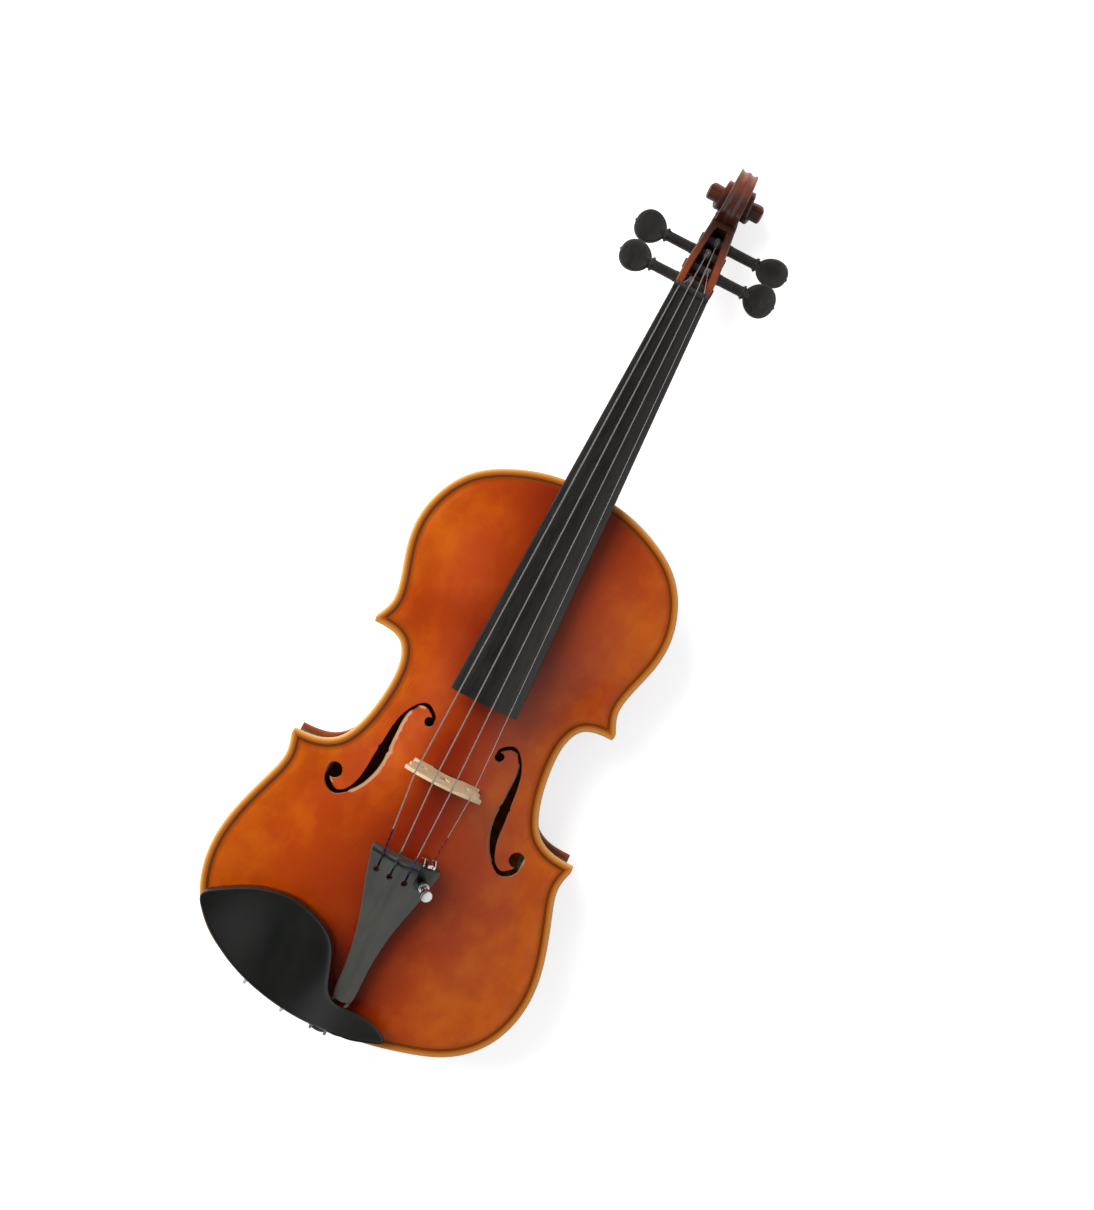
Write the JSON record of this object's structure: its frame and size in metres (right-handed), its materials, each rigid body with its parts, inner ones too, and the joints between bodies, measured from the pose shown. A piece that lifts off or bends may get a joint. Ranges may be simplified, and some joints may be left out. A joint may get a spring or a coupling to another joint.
{
  "type": "violin",
  "caption": "Bowed string instrument with arched wooden body, sound holes, ebony fittings, friction pegs, fine tuner and clamped chin rest.",
  "frame": {"origin": "on the floor under the middle of the whole length, level with the crown of the back; the upper edge of the body is at y = +0.071 m and its lower edge at y = -0.285 m", "axes": "+X to the treble side, +Y along the neck to the scroll, +Z out of the belly; the violin lies on its back"},
  "size_m": [0.2096, 0.5839, 0.0942],
  "materials": {
    "spruce_varnish": "orange-red varnish on straight-grained spruce, satin gloss",
    "maple_varnish": "orange-brown varnish on maple, satin gloss",
    "spruce_raw": "bare spruce, matt",
    "purfling": "dark dyed inlay, flush",
    "ebony": "black, satin",
    "chinrest_black": "black, satin",
    "maple_bare": "bare pale maple",
    "string_metal": "fine wound metal",
    "silk_violet": "silk thread",
    "silk_green": "silk thread",
    "silk_blue": "silk thread",
    "silk_red": "silk thread",
    "nylon": "smooth dark cord",
    "brass": "plain",
    "chrome": "polished plating",
    "steel": "plain steel",
    "black_steel": "blackened, satin",
    "cork": "cork sheet"
  },
  "bodies": {
    "violin_body": {"back_plate": "maple_varnish", "ball_ends": "brass", "bass_bar": "spruce_raw", "bottom_block": "spruce_raw", "bridge": "maple_bare", "chinrest_corks": "cork", "chinrest_plate": "chinrest_black", "clamp_top": "chrome", "corner_blocks": "spruce_raw", "end_button": "ebony", "fingerboard": "ebony", "linings_back": "spruce_raw", "linings_top": "spruce_raw", "neck_scroll": "maple_varnish", "nut": "ebony", "purfling_back": "purfling", "purfling_top": "purfling", "rib_lower_bass": "maple_varnish", "rib_lower_treble": "maple_varnish", "rib_upper_bass": "maple_varnish", "rib_upper_treble": "maple_varnish", "rib_waist_bass": "maple_varnish", "rib_waist_treble": "maple_varnish", "saddle": "ebony", "silk_a": "silk_blue", "silk_d": "silk_green", "silk_e": "silk_red", "silk_g": "silk_violet", "sound_post": "spruce_raw", "string_a": "string_metal", "string_d": "string_metal", "string_e": "string_metal", "string_g": "string_metal", "tail_gut": "nylon", "tail_gut_nuts": "brass", "tailpiece": "ebony", "tailpiece_fret": "ebony", "top_block": "spruce_raw", "top_plate": "spruce_varnish", "tuner_bracket": "black_steel", "tuner_nut": "chrome", "tuner_pin": "steel"},
    "peg_turner_g": {"peg_g": "ebony", "winding_g": "string_metal"},
    "peg_turner_d": {"peg_d": "ebony", "winding_d": "string_metal"},
    "peg_turner_a": {"peg_a": "ebony", "winding_a": "string_metal"},
    "peg_turner_e": {"peg_e": "ebony", "winding_e": "string_metal"},
    "tuner_screw_body": {"tuner_screw": "steel"},
    "tuner_head_body": {"tuner_head": "chrome"},
    "tuner_lever_body": {"tuner_lever": "chrome"},
    "clamp_barrel_outer": {"barrel_outer": "chrome"},
    "clamp_barrel_inner": {"barrel_inner": "chrome"},
    "clamp_foot": {"clamp_bottom": "chrome", "clamp_cork": "cork"}
  },
  "joints": [
    {"name": "peg_g_turn", "type": "hinge", "parent": "violin_body", "child": "peg_turner_g", "pos_m": [0, 0.2112, 0.0372], "axis": [-1, 0, 0], "continuous": true},
    {"name": "peg_d_turn", "type": "hinge", "parent": "violin_body", "child": "peg_turner_d", "pos_m": [0, 0.234, 0.0286], "axis": [-1, 0, 0], "continuous": true},
    {"name": "peg_a_turn", "type": "hinge", "parent": "violin_body", "child": "peg_turner_a", "pos_m": [0, 0.2444, 0.0244], "axis": [1, 0, 0], "continuous": true},
    {"name": "peg_e_turn", "type": "hinge", "parent": "violin_body", "child": "peg_turner_e", "pos_m": [0, 0.2228, 0.0326], "axis": [1, 0, 0], "continuous": true},
    {"name": "tuner_screw_travel", "type": "slide", "parent": "violin_body", "child": "tuner_screw_body", "axis": [-0.3296, 0.1772, -0.9273], "range_m": [0, 0.003]},
    {"name": "tuner_head_turn", "type": "hinge", "parent": "tuner_screw_body", "child": "tuner_head_body", "pos_m": [0.01943, -0.17754, 0.08837], "axis": [-0.3296, 0.1772, -0.9273], "range_deg": [0, 2160]},
    {"name": "tuner_lever_tilt", "type": "hinge", "parent": "violin_body", "child": "tuner_lever_body", "pos_m": [0.01253, -0.16234, 0.0727], "axis": [0.9433, 0.1027, -0.3157], "range_deg": [0, 15.3]},
    {"name": "barrel_outer_turn", "type": "hinge", "parent": "violin_body", "child": "clamp_barrel_outer", "pos_m": [-0.05044, -0.2779, 0.032], "axis": [0, 0, 1], "range_deg": [0, 1080]},
    {"name": "barrel_inner_turn", "type": "hinge", "parent": "violin_body", "child": "clamp_barrel_inner", "pos_m": [-0.02418, -0.28291, 0.032], "axis": [0, 0, 1], "range_deg": [0, 1080]},
    {"name": "clamp_foot_slide", "type": "slide", "parent": "violin_body", "child": "clamp_foot", "axis": [0, 0, -1], "range_m": [0, 0.003]}
  ],
  "couplings": [
    {"joint": "tuner_head_turn", "follows": "tuner_screw_travel", "rad_per_m": 12566},
    {"joint": "tuner_lever_tilt", "follows": "tuner_screw_travel", "rad_per_m": 86.6},
    {"joint": "barrel_outer_turn", "follows": "clamp_foot_slide", "rad_per_m": 6283},
    {"joint": "barrel_inner_turn", "follows": "clamp_foot_slide", "rad_per_m": 6283}
  ]
}
